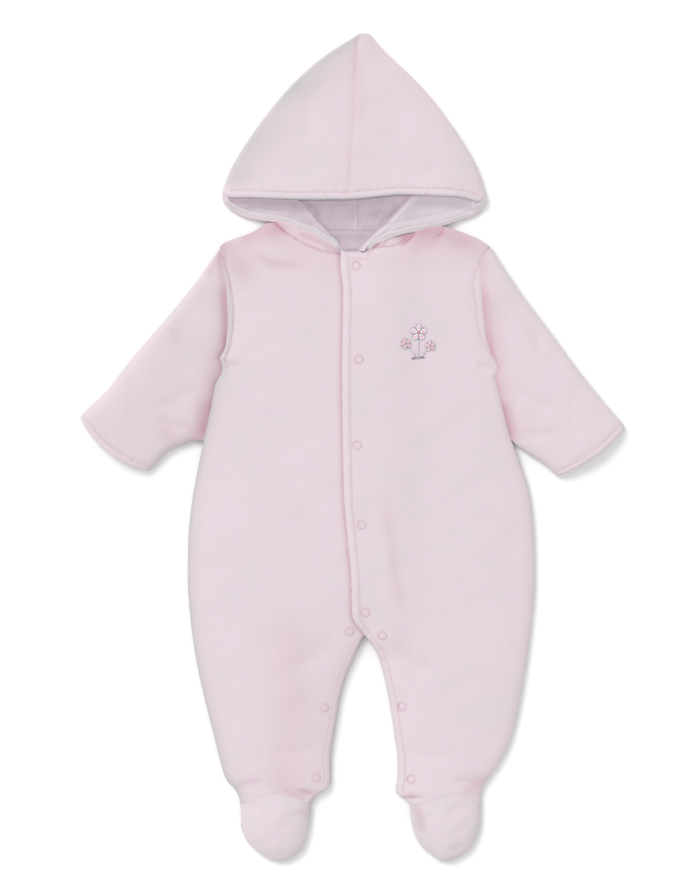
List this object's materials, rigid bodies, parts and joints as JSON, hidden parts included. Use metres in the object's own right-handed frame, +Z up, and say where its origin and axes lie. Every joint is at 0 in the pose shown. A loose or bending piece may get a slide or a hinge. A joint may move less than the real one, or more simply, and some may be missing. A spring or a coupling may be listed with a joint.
{
  "type": "baby bunting suit",
  "caption": "Hooded, footed baby bunting suit in padded velour, laid flat with its front up and sleeves out, snapped down the front and inner legs.",
  "frame": {"origin": "on the surface the suit lies on, below the middle of its outline's box", "axes": "+Z up from the surface out of the front, +Y towards the hood's peak, +X towards the wearer's left"},
  "size_m": [0.494, 0.7456, 0.0182],
  "materials": {
    "velour": "soft cotton velour with a short nap, pale pink, silvery where the nap turns",
    "jersey": "fine cotton jersey lining, pale pink-white, matt",
    "snap": "enamelled open-ring snap, pale pink, satin gloss",
    "thread": "satin-stitched embroidery thread, pink, grey and white"
  },
  "bodies": {
    "root": {"back": "velour", "front_right": "velour", "front_left": "velour", "sleeve_right": "velour", "sleeve_left": "velour", "hood_right": "velour", "hood_left": "velour", "foot_top_right": "velour", "foot_top_left": "velour", "sole_right": "velour", "sole_left": "velour", "hood_lining_right": "jersey", "hood_lining_left": "jersey", "back_lining": "jersey", "snap_01": "snap", "snap_02": "snap", "snap_03": "snap", "snap_04": "snap", "snap_05": "snap", "snap_06": "snap", "snap_07": "snap", "snap_08": "snap", "snap_09": "snap", "snap_10": "snap", "snap_11": "snap", "embroidery": "thread"}
  },
  "joints": []
}
